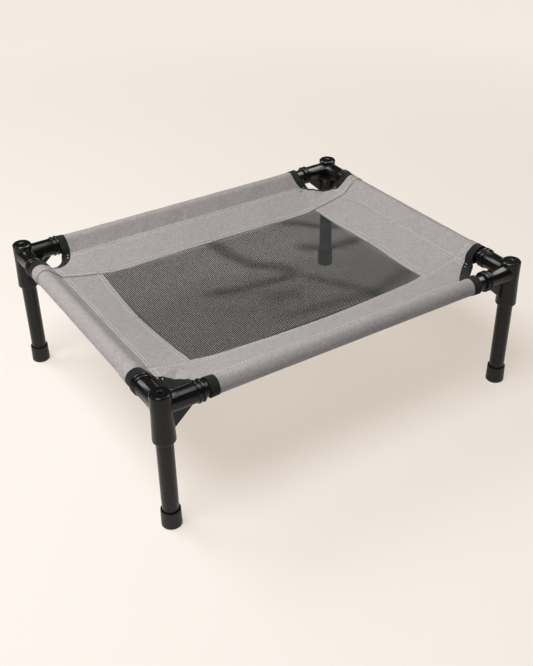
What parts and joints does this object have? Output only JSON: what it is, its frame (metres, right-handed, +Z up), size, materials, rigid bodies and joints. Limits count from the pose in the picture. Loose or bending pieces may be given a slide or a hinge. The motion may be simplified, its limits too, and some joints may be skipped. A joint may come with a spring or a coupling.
{
  "type": "raised pet cot",
  "caption": "Raised pet cot: tube rails and pull-out legs in moulded corner connectors, carrying a sewn cloth cover with a sagging mesh panel.",
  "frame": {"origin": "on the floor, under the middle of the cot", "axes": "+X along the long side, +Y from the front rail to the back rail, +Z up"},
  "size_m": [0.5076, 0.4076, 0.178],
  "materials": {
    "connector_plastic": "moulded, satin black",
    "coated_tube": "powder coated, satin black",
    "foot_rubber": "moulded, matt black",
    "cover_cloth": "plain woven coated cloth, warm grey",
    "mesh_cloth": "open square woven mesh, black",
    "binding_tape": "woven tape, black"
  },
  "bodies": {
    "frame": {"corner_connector_front_left": "connector_plastic", "corner_wing_front_left": "cover_cloth", "corner_binding_front_left": "binding_tape", "corner_connector_front_right": "connector_plastic", "corner_wing_front_right": "cover_cloth", "corner_binding_front_right": "binding_tape", "corner_connector_back_left": "connector_plastic", "corner_wing_back_left": "cover_cloth", "corner_binding_back_left": "binding_tape", "corner_connector_back_right": "connector_plastic", "corner_wing_back_right": "cover_cloth", "corner_binding_back_right": "binding_tape", "front_rail": "coated_tube", "front_strip": "cover_cloth", "back_rail": "coated_tube", "back_strip": "cover_cloth", "left_rail": "coated_tube", "left_strip": "cover_cloth", "right_rail": "coated_tube", "right_strip": "cover_cloth", "mesh_panel": "mesh_cloth"},
    "leg_front_left": {"leg_tube_front_left": "coated_tube", "foot_cap_front_left": "foot_rubber"},
    "leg_front_right": {"leg_tube_front_right": "coated_tube", "foot_cap_front_right": "foot_rubber"},
    "leg_back_left": {"leg_tube_back_left": "coated_tube", "foot_cap_back_left": "foot_rubber"},
    "leg_back_right": {"leg_tube_back_right": "coated_tube", "foot_cap_back_right": "foot_rubber"}
  },
  "joints": [
    {"name": "leg_front_left_pull", "type": "slide", "parent": "frame", "child": "leg_front_left", "axis": [0, 0, -1], "range_m": [0, 0.03]},
    {"name": "leg_front_right_pull", "type": "slide", "parent": "frame", "child": "leg_front_right", "axis": [0, 0, -1], "range_m": [0, 0.03]},
    {"name": "leg_back_left_pull", "type": "slide", "parent": "frame", "child": "leg_back_left", "axis": [0, 0, -1], "range_m": [0, 0.03]},
    {"name": "leg_back_right_pull", "type": "slide", "parent": "frame", "child": "leg_back_right", "axis": [0, 0, -1], "range_m": [0, 0.03]}
  ]
}
